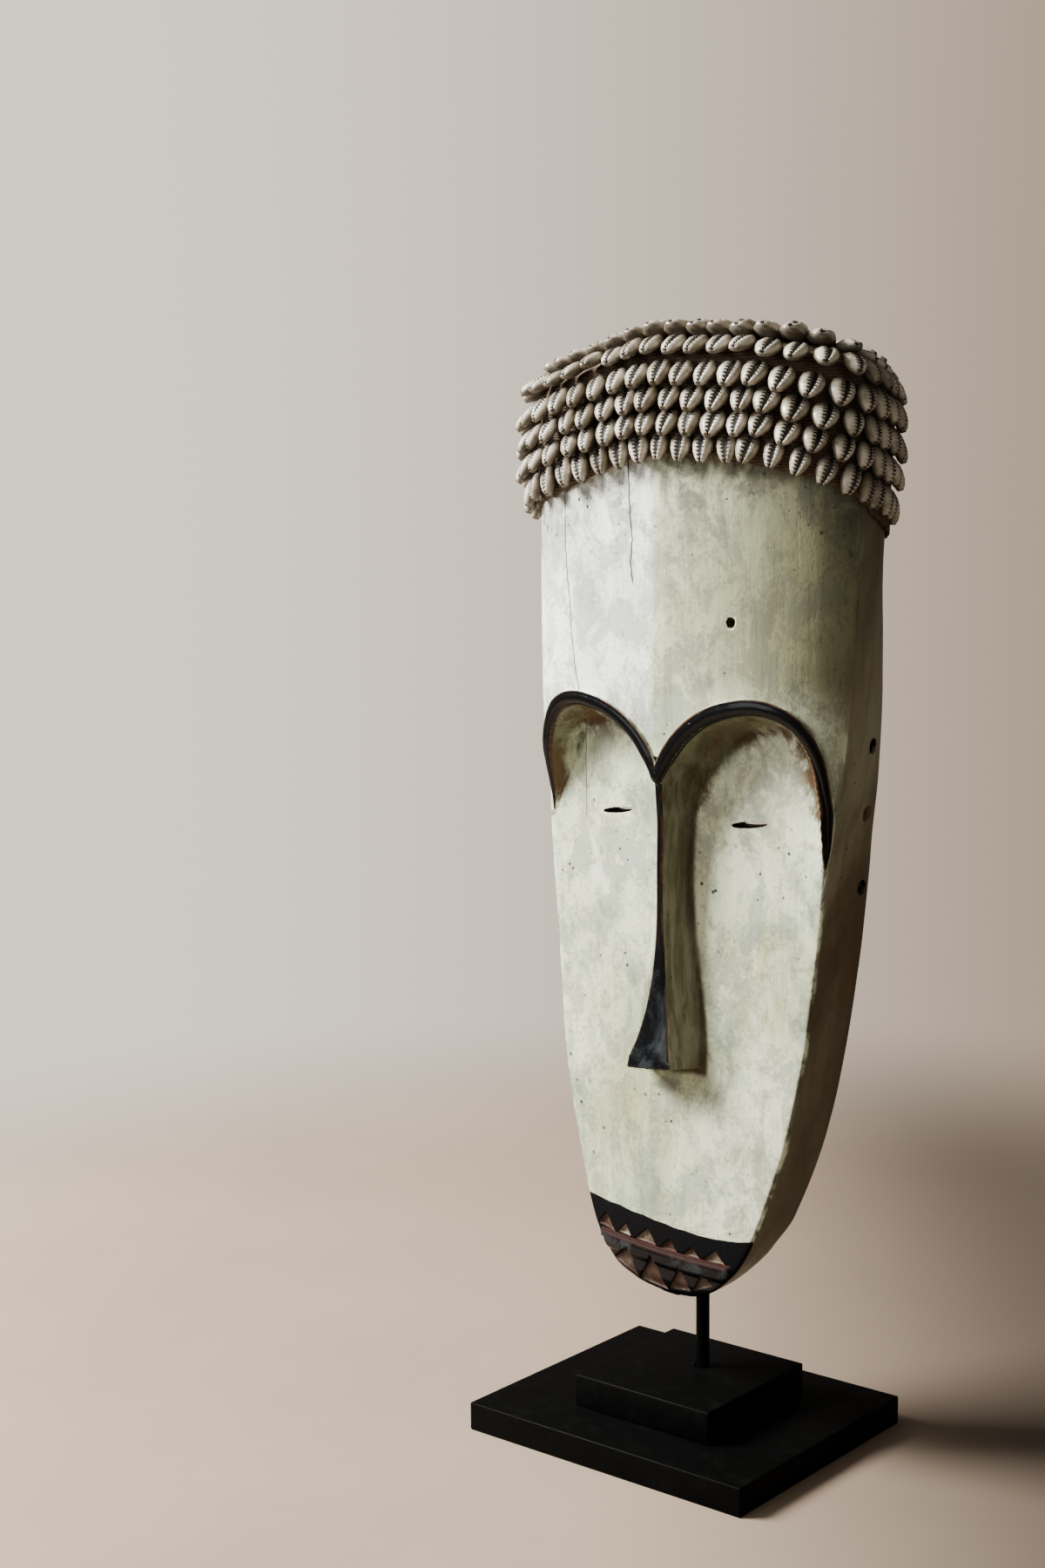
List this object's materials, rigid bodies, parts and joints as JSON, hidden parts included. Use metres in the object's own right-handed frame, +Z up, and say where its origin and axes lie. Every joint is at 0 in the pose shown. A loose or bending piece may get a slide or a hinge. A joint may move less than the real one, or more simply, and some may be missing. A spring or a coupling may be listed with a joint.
{
  "type": "fang mask on stand",
  "caption": "Tall pale carved wooden mask with scooped eye sockets under black brow arches, a thin nose, a toothed chin band and a cowrie shell cap, held by a rod on a stepped black stand.",
  "frame": {"origin": "centre of the stand plate's underside", "axes": "+Z up; the mask faces -Y; +X is on the right of someone who looks at the face"},
  "size_m": [0.3067, 0.208, 0.7982],
  "materials": {
    "stand": "satin black paint",
    "rod": "satin black paint",
    "painted_wood": "pale grey-green paint, waxed and worn",
    "fibre": "brown woven fibre",
    "shell": "glossy natural shell"
  },
  "bodies": {
    "root": {"base_plate": "stand", "base_block": "stand", "rod": "rod", "mask": "painted_wood", "cap": "fibre", "cowrie_row_1": "shell", "cowrie_row_2": "shell", "cowrie_row_3": "shell", "cowrie_row_4": "shell", "cowrie_row_5": "shell", "cowrie_row_6": "shell", "cowrie_row_7": "shell", "cowrie_row_8": "shell"}
  },
  "joints": []
}
